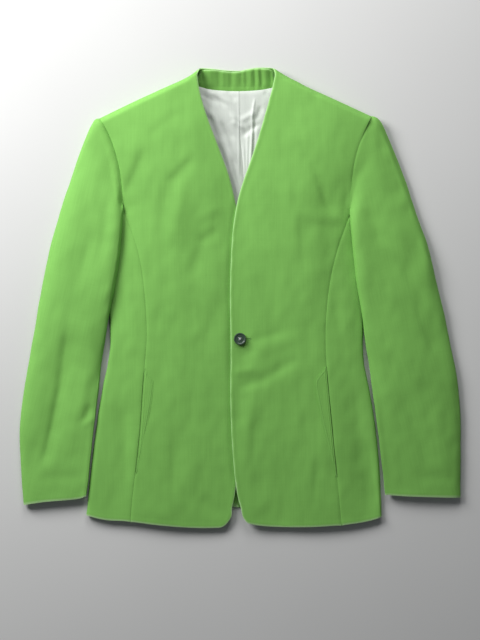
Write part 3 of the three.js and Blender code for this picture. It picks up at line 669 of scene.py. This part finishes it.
UNDER_SLEEVE_CREASES = [
    (-262, 60, -244, 20, 9, 7, -0.7), (-286, -60, -262, -110, 9, 7, -0.8),
    (-300, -180, -280, -230, 9, 7, -0.6), (250, 50, 272, 10, 9, 7, -0.7),
    (280, -70, 300, -120, 9, 7, -0.8), (290, -190, 316, -240, 9, 7, -0.6),
]
SLEEVE_THICKNESS = 1.5
SLEEVE_LEAN = 12  # degrees from the +Y direction
SLEEVE_ROLL = 0.9
SLEEVE_ROLL_PLACE = 7.0
SLEEVE_ROLL_WIDTH = 4.5
ARMHOLE_DIP = 1.4
ARMHOLE_DIP_WIDTH = 2.2
SLEEVE_ABOVE = 7
SLEEVE_ABOVE_FADE = 4
HEAD_TOP = 290
HEAD_LENGTH = 140
HEAD_GAIN = 0.6
UNDERARM = 146
UNDERARM_FADE = 20


def sleeve_roll(place, sewn, free):
    """The right sleeve's head rolls over its armhole seam, more and more towards the underarm, where it
    fades out."""
    above = ramp(place[:, 2] - SLEEVE_ABOVE, SLEEVE_ABOVE_FADE)
    above *= 1.0 + HEAD_GAIN * ramp(HEAD_TOP - place[:, 1], HEAD_LENGTH)
    above *= ramp(place[:, 1] - UNDERARM, UNDERARM_FADE)
    roll = SLEEVE_ROLL * bell(sewn - SLEEVE_ROLL_PLACE, SLEEVE_ROLL_WIDTH)
    return above * (roll - ARMHOLE_DIP * bell(sewn, ARMHOLE_DIP_WIDTH))


top_sleeve_right = lay_panel("top_sleeve_right", {"front_right": 1, "side_right": 1, "back_right": 0.5,
                                                  "under_sleeve_right": 0.5},
                             RIGHT_SLEEVE_CREASES, SLEEVE_THICKNESS, grain=-SLEEVE_LEAN, press=sleeve_roll)
top_sleeve_left = lay_panel("top_sleeve_left", {"front_left": 0.5, "side_left": 1, "back_left": 0.5,
                                                "under_sleeve_left": 0.5},
                            LEFT_SLEEVE_CREASES, SLEEVE_THICKNESS, grain=SLEEVE_LEAN)
under_sleeve_right = lay_panel("under_sleeve_right", {"back_right": 0.5, "top_sleeve_right": 0.5},
                               UNDER_SLEEVE_CREASES, SLEEVE_THICKNESS, grain=-SLEEVE_LEAN, rumple=0)
under_sleeve_left = lay_panel("under_sleeve_left", {"back_left": 0.5, "top_sleeve_left": 0.5},
                              UNDER_SLEEVE_CREASES, SLEEVE_THICKNESS, grain=SLEEVE_LEAN, rumple=0)


# ---------------------------------------------------------------- back neck facing
# A curved band of the green cloth inside the back neck, eased on, so that it stands in small upright
# puckers towards the left.

FACING_PUCKERS = [
    (-62, 378, -60, 350, 4, 4, -0.8), (-50, 376, -47, 348, 4, 4, 0.6), (-22, 374, -20, 346, 4, 4, 0.4),
    (-36, 374, -34, 346, 4, 4, -0.7), (-28, 372, -27, 348, 3.5, 3.5, 0.6),
    (-14, 372, -14, 346, 4, 4, -0.7), (-6, 372, -8, 346, 5, 5, 0.6), (2, 372, 2, 348, 3, 3, -0.5),
    (10, 374, 11, 346, 3.0, 3.0, -0.8), (17, 374, 18, 350, 2.6, 2.6, 0.7),
    (24, 376, 25, 346, 2.6, 2.6, -1.1), (30, 376, 31, 350, 2.6, 2.6, 0.8),
    (35, 377, 36, 346, 2.6, 2.6, -0.9), (42, 377, 43, 348, 3.0, 3.0, 0.7),
    (50, 377, 51, 348, 3.0, 3.0, -1.1),
]
FACING_THICKNESS = 1.1
FACING_RUMPLE = 0.3
FACING_EASE = 0.9
FACING_EASE_INSET = 5


def facing_stand(place, sewn, free):
    """The stand of the neck, and the facing's own fullness, which leaves its puckers room."""
    inset = np.minimum(sewn, free)
    return NECK_STAND * neck_share(place) + FACING_EASE * (1 - bell(inset, FACING_EASE_INSET))


neck_facing = lay_panel("neck_facing", {"lining_right": 0.5, "lining_left": 0.5}, FACING_PUCKERS,
                        FACING_THICKNESS, rumple=FACING_RUMPLE, press=facing_stand, shift=neck_rise)


# ---------------------------------------------------------------- back lining
# A soft, thin off-white lining cloth, seen in the V. It has a centre seam and lies in loose wrinkles
# and one long pleat on the left.

OFF_WHITE = (0.66, 0.70, 0.64, 1)
SHADED_WHITE = (0.56, 0.60, 0.55, 1)
white_lining = cloth_finish("white_lining", OFF_WHITE, SHADED_WHITE, OFF_WHITE, 0.10, 0.5)

LINING_WRINKLES = [
    (-68, 338, -40, 322, 6, 4, -1.7), (-50, 340, -20, 322, 4, 4, 1.4), (-38, 330, -14, 300, 6, 3.5, -2.3),
    (-28, 318, -6, 292, 4, 4, 1.7), (-46, 306, -24, 276, 5, 5, 1.4), (-52, 300, -34, 262, 6, 4, -2.1),
    (-30, 286, -12, 262, 5, 4, -2.0), (-12, 290, 4, 280, 4, 4, 1.7), (-24, 262, -10, 226, 5, 5, 1.4),
    (-34, 250, -20, 214, 5, 4, -1.8), (-14, 232, -2, 190, 4, 4, -1.6), (6, 268, 30, 286, 6, 4, -2.5),
    (2, 292, 24, 304, 5, 5, 1.7), (26, 292, 36, 316, 5, 5, -1.8), (24, 324, 20, 292, 1.8, 1.8, 1.4),
    (21, 292, 17, 214, 1.8, 1.8, 1.8), (13, 270, 12, 206, 2.2, 2.2, 1.0),
    (25, 290, 22, 236, 2.2, 2.2, -1.3), (40, 338, 54, 328, 6, 4, -1.8), (34, 318, 44, 300, 4, 4, 1.3),
    (6, 250, 8, 206, 2.2, 2.2, 0.9), (-2, 336, -2, 210, 1.6, 1.6, 0.9), (-68, 345, -8, 168, 16, 9, 3.2),
    (-60, 318, -48, 296, 5, 4, 1.3), (-20, 342, -8, 326, 5, 4, -1.3),
]
LINING_THICKNESS = 0.8
LINING_RUMPLE = 0.9
LINING_TOP = 348
LINING_TOP_FADE = 14
LINING_EASE = 2.3
LINING_SEAM_FILL = 0.4


def lining_ease(place, sewn, free):
    """The lining's fullness lifts it off the back below its top seam. Its seams dip less than the green
    cloth's."""
    full = eased(ramp(LINING_TOP - place[:, 1], LINING_TOP_FADE))
    return LINING_EASE * full + SEAM_DIP * LINING_SEAM_FILL * bell(sewn, SEAM_WIDTH)


lining_right = lay_panel("lining_right", {"lining_left": 0.5, "neck_facing": 0.5}, LINING_WRINKLES,
                         LINING_THICKNESS, white_lining, rumple=LINING_RUMPLE, press=lining_ease)
lining_left = lay_panel("lining_left", {"lining_right": 0.5, "neck_facing": 0.5}, LINING_WRINKLES,
                        LINING_THICKNESS, white_lining, rumple=LINING_RUMPLE, press=lining_ease)


# ---------------------------------------------------------------- pocket facings
# Long pointed facings along the mouths of the two seam pockets, pressed flat on the fronts and held
# by two rows of topstitching round their inner edge, with a bar tack at each end of the mouth.

POCKET_SINK = -0.66
FACING_FALL = 0.16
FACING_FALL_WIDTH = 2.0
POCKET_THICKNESS = 0.5
MOUTH_BAND = 1.2
STITCH_DENT = 0.32
STITCH_DENT_WIDTH = 0.9
STITCH_ROWS = (1.6, 4.4)
STITCH_LENGTH = 1.9
STITCH_PITCH = 2.7
STITCH_WIDTH = 0.62
STITCH_RISE = 0.22
STITCH_AHEAD = 1.5
BAR_TACK_STITCHES = 9
BAR_TACK_INSET = 0.8
BAR_TACK_PITCH = 0.5
BAR_TACK_LENGTH = 1.6
RAY_START = 0.1  # metres
THREAD_GREEN = (0.150, 0.40, 0.070, 1)
FIBRES_PER_METRE = 2600
TWIST_DEPTH = 0.05


def sunk_facing(place, sewn, free):
    """The facing is pressed down into the front, so that it stands only its own thin edge proud, and
    dented along its rows of stitches."""
    rows = sum(bell(free - inset, STITCH_DENT_WIDTH) for inset in STITCH_ROWS)
    return POCKET_SINK - STITCH_DENT * rows


def thread_finish(name, light, shade, roughness):
    """A twisted thread. shade is how dark its dark fibres are against its light ones."""
    finish = Finish(name)
    dark = tuple(shade * part for part in light[:3]) + (1,)
    strand = finish.node("ShaderNodeTexCoord", output="Object")
    twist = finish.noise(strand, FIBRES_PER_METRE, 2.0)
    finish.join(finish.shader, {
        "Base Color": finish.blend(twist, dark, light),
        "Roughness": twist * 0.1 + roughness,
        "Normal": finish.bump(twist, TWIST_DEPTH * MM),
        "Sheen Weight": 0.2,
    })
    return finish.material


green_thread = thread_finish("green_thread", THREAD_GREEN, 0.8, 0.55)


def ground_of(panel):
    bpy.context.view_layer.update()
    return BVHTree.FromObject(panel, bpy.context.evaluated_depsgraph_get())


def add_stitch(bm, ground, x, y, heading, length=STITCH_LENGTH):
    """One stitch: a small flat pill that lies on the cloth."""
    hit, normal, _, _ = ground.ray_cast(Vector((x * MM, y * MM, RAY_START)), Vector((0, 0, -1)))
    if hit is None:
        return
    tilt = Vector((0, 0, 1)).rotation_difference(normal).to_matrix().to_4x4()
    size = Matrix.Diagonal((length / 2 * MM, STITCH_WIDTH / 2 * MM, STITCH_RISE * MM, 1))
    turn = Matrix.Rotation(heading, 4, "Z")
    bmesh.ops.create_uvsphere(bm, u_segments=6, v_segments=4, radius=1,
                              matrix=Matrix.Translation(hit) @ tilt @ turn @ size)


def finish_piece(name, bm, material):
    mesh = bpy.data.meshes.new(name)
    bm.to_mesh(mesh)
    bm.free()
    mesh.shade_smooth()
    mesh.materials.append(material)
    piece = bpy.data.objects.new(name, mesh)
    bpy.context.scene.collection.objects.link(piece)
    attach(piece, "root")
    return piece


def inner_edge(node, line):
    """The facing's outline away from the mouth, from the bottom to the top, in mm."""
    ends = [point for edge in rims[node][0] for point in edge]
    away = {(round(x / MM, 2), round(y / MM, 2)) for x, y, _ in ends
            if abs(x / MM - seam_at(line, y / MM)) > MOUTH_BAND}
    return np.array(sorted(away, key=lambda point: point[1]))


def topstitching(name, panel, node, line, towards):
    """Rows of stitches inside a facing's outline. towards is the side on which the mouth lies."""
    outline, ground, bm = inner_edge(node, line), ground_of(panel), bmesh.new()
    lengths = np.concatenate([[0], np.cumsum(np.hypot(*np.diff(outline, axis=0).T))])
    for inset in STITCH_ROWS:
        for place in np.arange(2 * inset, lengths[-1] - inset, STITCH_PITCH):
            x, y = (np.interp(place, lengths, outline[:, axis]) for axis in (0, 1))
            x1, y1 = (np.interp(place + STITCH_AHEAD, lengths, outline[:, axis]) for axis in (0, 1))
            heading = math.atan2(y1 - y, x1 - x)
            add_stitch(bm, ground, x + towards * math.sin(heading) * inset,
                       y - towards * math.cos(heading) * inset, heading)
    for end in (outline[0], outline[-1]):
        for step in range(BAR_TACK_STITCHES):
            inset = BAR_TACK_INSET + BAR_TACK_PITCH * step
            add_stitch(bm, ground, seam_at(line, end[1]) - towards * inset, end[1], math.radians(90),
                       BAR_TACK_LENGTH)
    finish_piece(name, bm, green_thread)


# The facings get no painted edge highlight.
pocket_facing_right = lay_panel("pocket_welt_right", {}, BODY_CREASES, POCKET_THICKNESS, press=sunk_facing,
                                shift=mouth_open(MOUTH_LINE_RIGHT, MOUTH_RIGHT, 1), highlight_share=0,
                                edge_fall=FACING_FALL, edge_width=FACING_FALL_WIDTH)
pocket_facing_left = lay_panel("pocket_welt_left", {}, BODY_CREASES, POCKET_THICKNESS, press=sunk_facing,
                               shift=mouth_open(MOUTH_LINE_LEFT, MOUTH_LEFT, -1), highlight_share=0,
                               edge_fall=FACING_FALL, edge_width=FACING_FALL_WIDTH)
topstitching("pocket_stitching_right", pocket_facing_right, "pocket_welt_right", MOUTH_LINE_RIGHT, -1)
topstitching("pocket_stitching_left", pocket_facing_left, "pocket_welt_left", MOUTH_LINE_LEFT, 1)


# ---------------------------------------------------------------- button and buttonhole
# One dark, dished, four-hole plastic button on a wound thread shank, through a buttonhole that is
# oversewn with close purl stitches in green thread. A cross of pale thread holds the button.

BUTTON_LIGHT = (0.060, 0.105, 0.070, 1)
BUTTON_DARK = (0.030, 0.050, 0.036, 1)
PALE_THREAD = (0.52, 0.56, 0.53, 1)
SWIRL_SCALE = 220
SWIRL_DEPTH = 0.03
POLISH = 0.2
POLISH_ANGLE = 25
FLAT_ANGLE = 1
PURL_PITCH = 0.78
PURL_LENGTH = 2.3
EYE_PURLS = 12
EYE_RADIUS = 3.3
END_BAR_STITCHES = 5
END_BAR_GAP = 0.6
END_BAR_PITCH = 0.7
END_BAR_LENGTH = 1.6
HOLE_SPREAD = 1.8
WELL_DEPTH = 1.0
STRAND_SIDES = 7
CROSS_STRAND = 0.30
CROSS_RISE = 0.95
CROSS_SPACING = 1.7  # times the strand's radius
CROSS_OVER = 0.18
CROSS_BESIDE = 0.12
CROSS_STEPS = 9
CROSS_REACH = 1.5  # times the angle to its holes
SHANK_STRAND = 0.34
SHANK_CORE = 1.1
COIL_SPACING = 1.9  # times the strand's radius
COIL_STEPS = 12

button_plastic = Finish("button_plastic")
horn = button_plastic.node("ShaderNodeTexCoord", output="Object")
swirl = button_plastic.noise(horn, SWIRL_SCALE, 3.0)
button_plastic.join(button_plastic.shader, {
    "Base Color": button_plastic.blend(swirl, BUTTON_DARK, BUTTON_LIGHT),
    "Roughness": swirl * 0.12 + 0.26,
    "Normal": button_plastic.bump(swirl, SWIRL_DEPTH * MM),
    "Specular IOR Level": 0.5,
})
pale_thread = thread_finish("pale_thread", PALE_THREAD, 0.75, 0.5)

button_bm = bmesh.new()
button_bm.from_mesh(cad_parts["button"].data)
bmesh.ops.remove_doubles(button_bm, verts=button_bm.verts, dist=WELD * MM)
bmesh.ops.dissolve_limit(button_bm, angle_limit=math.radians(FLAT_ANGLE), verts=button_bm.verts,
                         edges=button_bm.edges)
button_top = max(vert.co.z for vert in button_bm.verts) / MM
button_mesh = bpy.data.meshes.new("dressed_button")
button_bm.to_mesh(button_mesh)
button_bm.free()
button_mesh.shade_smooth()
button_mesh.materials.append(button_plastic.material)
dressed_button = bpy.data.objects.new("dressed_button", button_mesh)
bpy.context.scene.collection.objects.link(dressed_button)
polish = dressed_button.modifiers.new("polished edges", "BEVEL")
polish.width = POLISH * MM
polish.segments = 3
polish.limit_method = "ANGLE"
polish.angle_limit = math.radians(POLISH_ANGLE)
polish.harden_normals = True
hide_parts("button")
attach(dressed_button, "root")

cross_bm = bmesh.new()
chord = HOLE_SPREAD * math.sqrt(2)
arch = (chord ** 2 + CROSS_RISE ** 2) / (2 * CROSS_RISE)
reach = CROSS_REACH * math.asin(chord / arch)
well = Vector((BUTTON_PLACE[0], BUTTON_PLACE[1], button_top - WELL_DEPTH)) * MM
for turn in (45, 135):
    for beside in (-1, 0, 1):
        heading = Matrix.Rotation(math.radians(turn), 4, "Z")
        across, along = heading @ Vector((0, 1, 0)), heading @ Vector((1, 0, 0))
        rise = CROSS_RISE + (CROSS_OVER if turn == 135 else 0) - (CROSS_BESIDE if beside else 0)
        aside = across * beside * CROSS_SPACING * CROSS_STRAND * MM
        middle = well + aside + Vector((0, 0, (rise - arch) * MM))
        start = middle + (Vector((0, 0, math.cos(reach))) - along * math.sin(reach)) * arch * MM
        upright = heading @ Matrix.Rotation(math.pi / 2, 4, "Y")
        ring = bmesh.ops.create_circle(
            cross_bm, cap_ends=False, segments=STRAND_SIDES, radius=CROSS_STRAND * MM,
            matrix=Matrix.Translation(start) @ Matrix.Rotation(-reach, 4, across) @ upright)
        edges = list({edge for vert in ring["verts"] for edge in vert.link_edges})
        bmesh.ops.spin(cross_bm, geom=ring["verts"] + edges, cent=middle, axis=across, angle=2 * reach,
                       steps=CROSS_STEPS, use_duplicate=False)
bmesh.ops.holes_fill(cross_bm, edges=[edge for edge in cross_bm.edges if edge.is_boundary], sides=0)
bmesh.ops.recalc_face_normals(cross_bm, faces=cross_bm.faces)
finish_piece("button_thread_cross", cross_bm, pale_thread)

shank_heights = [vert.co.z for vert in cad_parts["button_shank"].data.vertices]
shank_foot, shank_top = min(shank_heights), max(shank_heights)
shank_bm = bmesh.new()
wound_height = shank_top - shank_foot - 2 * SHANK_STRAND * MM
coils = wound_height / (COIL_SPACING * SHANK_STRAND * MM)
steps = max(COIL_STEPS, round(COIL_STEPS * coils))
centre = Vector((BUTTON_PLACE[0] * MM, BUTTON_PLACE[1] * MM, shank_foot + SHANK_STRAND * MM))
ring = bmesh.ops.create_circle(shank_bm, cap_ends=False, segments=STRAND_SIDES, radius=SHANK_STRAND * MM,
                               matrix=Matrix.Translation(centre + Vector((SHANK_CORE * MM, 0, 0)))
                               @ Matrix.Rotation(math.pi / 2, 4, "X"))
edges = list({edge for vert in ring["verts"] for edge in vert.link_edges})
bmesh.ops.spin(shank_bm, geom=ring["verts"] + edges, cent=centre, axis=(0, 0, 1), angle=2 * math.pi * coils,
               dvec=(0, 0, wound_height / steps), steps=steps)
bmesh.ops.holes_fill(shank_bm, edges=[edge for edge in shank_bm.edges if edge.is_boundary], sides=0)
bmesh.ops.create_cone(shank_bm, cap_ends=True, segments=12, radius1=SHANK_CORE * MM, radius2=SHANK_CORE * MM,
                      depth=shank_top - shank_foot,
                      matrix=Matrix.Translation((centre.x, centre.y, (shank_top + shank_foot) / 2)))
bmesh.ops.recalc_face_normals(shank_bm, faces=shank_bm.faces)
wound_shank = finish_piece("wound_shank", shank_bm, pale_thread)
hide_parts("button_shank")

purl_bm = bmesh.new()
left_ground = ground_of(front_left)
for step in range(int((HOLE_END - EYE_RADIUS) / PURL_PITCH) + 1):
    for side in (-1, 1):
        add_stitch(purl_bm, left_ground, BUTTON_PLACE[0] + EYE_RADIUS + step * PURL_PITCH,
                   BUTTON_PLACE[1] + side * PURL_LENGTH / 2, math.radians(90), PURL_LENGTH)
for step in range(1, EYE_PURLS):
    turn = 2 * math.pi * step / EYE_PURLS
    add_stitch(purl_bm, left_ground, BUTTON_PLACE[0] + EYE_RADIUS * math.cos(turn),
               BUTTON_PLACE[1] + EYE_RADIUS * math.sin(turn), turn, PURL_LENGTH)
for step in range(END_BAR_STITCHES):
    add_stitch(purl_bm, left_ground, BUTTON_PLACE[0] + HOLE_END + END_BAR_GAP,
               BUTTON_PLACE[1] + (step - END_BAR_STITCHES // 2) * END_BAR_PITCH, 0, END_BAR_LENGTH)
finish_piece("buttonhole_purls", purl_bm, green_thread)


# ---------------------------------------------------------------- floor, light and camera
# A pale floor, a big soft light from the upper left and a weaker one from beyond the neck. The camera
# looks straight down.

FLOOR_SIZE = 10.0
FLOOR_LEVEL = -0.0006
FLOOR_LIGHT = (0.70, 0.70, 0.69, 1)
FLOOR_DARK = (0.66, 0.66, 0.65, 1)
LIGHT_AIM = (0, 0.1, 0)
LIGHT_SIZE = 1.0
ROOM_TINT = (0.9, 0.95, 1.0, 1)
ROOM_STRENGTH = 0.10
CAMERA_HEIGHT = 3.0
CAMERA_MIDDLE = -0.036
SENSOR_WIDTH = 36
VIEW_LENGTH = 1.050
VIEW_LEVEL = 0.012

floor_bm = bmesh.new()
bmesh.ops.create_grid(floor_bm, x_segments=1, y_segments=1, size=FLOOR_SIZE,
                      matrix=Matrix.Translation((0, 0, FLOOR_LEVEL)))
floor_mesh = bpy.data.meshes.new("floor")
floor_bm.to_mesh(floor_mesh)
floor_bm.free()
floor = bpy.data.objects.new("floor", floor_mesh)
bpy.context.scene.collection.objects.link(floor)
pale_floor = Finish("pale_floor")
floor_grain = pale_floor.noise(pale_floor.node("ShaderNodeTexCoord", output="Object"), 3.0)
pale_floor.join(pale_floor.shader, {
    "Base Color": pale_floor.blend(floor_grain, FLOOR_DARK, FLOOR_LIGHT),
    "Roughness": 0.9,
})
floor_mesh.materials.append(pale_floor.material)


def soft_light(name, place, watts):
    lamp = bpy.data.lights.new(name, "AREA")
    lamp.shape, lamp.size, lamp.energy = "DISK", LIGHT_SIZE, watts
    lamp_object = bpy.data.objects.new(name, lamp)
    lamp_object.location = place
    lamp_object.rotation_euler = (Vector(LIGHT_AIM) - Vector(place)).to_track_quat("-Z", "Y").to_euler()
    bpy.context.scene.collection.objects.link(lamp_object)


soft_light("top_light", (0.05, 1.5, 0.95), 15)
soft_light("left_light", (-1.18, 0.95, 0.92), 33)
room = bpy.data.worlds.new("room")
room.use_nodes = True
room.node_tree.nodes["Background"].inputs["Color"].default_value = ROOM_TINT
room.node_tree.nodes["Background"].inputs["Strength"].default_value = ROOM_STRENGTH
bpy.context.scene.world = room
bpy.context.scene.view_settings.view_transform = "Standard"

camera = bpy.data.cameras.new("camera")
camera.sensor_width = SENSOR_WIDTH
camera.lens = camera.sensor_width * (CAMERA_HEIGHT - VIEW_LEVEL) / VIEW_LENGTH
camera_object = bpy.data.objects.new("camera", camera)
camera_object.location = (0, CAMERA_MIDDLE, CAMERA_HEIGHT)
bpy.context.scene.collection.objects.link(camera_object)
bpy.context.scene.camera = camera_object
